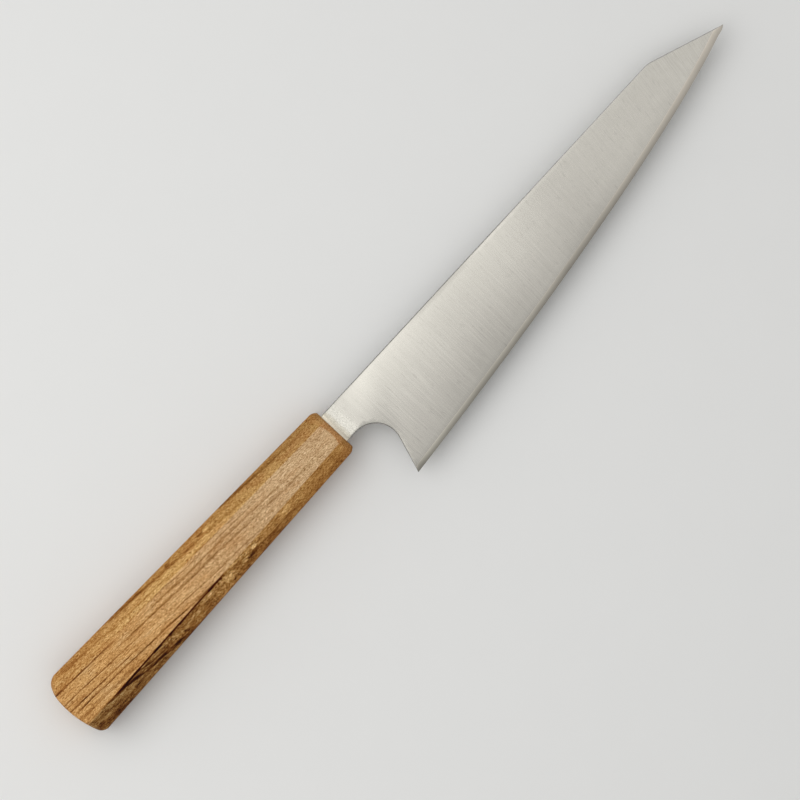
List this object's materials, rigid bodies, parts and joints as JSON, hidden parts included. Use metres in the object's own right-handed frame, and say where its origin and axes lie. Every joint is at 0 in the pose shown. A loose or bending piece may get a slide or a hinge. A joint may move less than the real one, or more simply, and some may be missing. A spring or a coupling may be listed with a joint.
{
  "type": "honesuki knife",
  "caption": "Boning knife with a broad tapering blade, angled point, deep finger notch behind the heel and an octagonal one-piece wooden handle on a hidden tang.",
  "frame": {"origin": "middle of the knife's box seen on its right face, at its lowest point, with the knife laid on its left face", "axes": "+X along the handle's axis to the point, +Y towards the spine, +Z out of the blade's right face"},
  "size_m": [0.3166, 0.0428, 0.0201],
  "materials": {
    "satin_steel": "satin, brushed across the blade",
    "golden_oak": "oiled, open grain",
    "seal_resin": "cured clear resin",
    "beech_dowel": "bare wood",
    "cured_resin": "cured amber resin"
  },
  "bodies": {
    "root": {"blade": "satin_steel", "handle_body": "golden_oak", "neck_seal": "seal_resin", "tang_dowel_right": "beech_dowel", "tang_dowel_left": "beech_dowel", "tang_bedding": "cured_resin"}
  },
  "joints": []
}
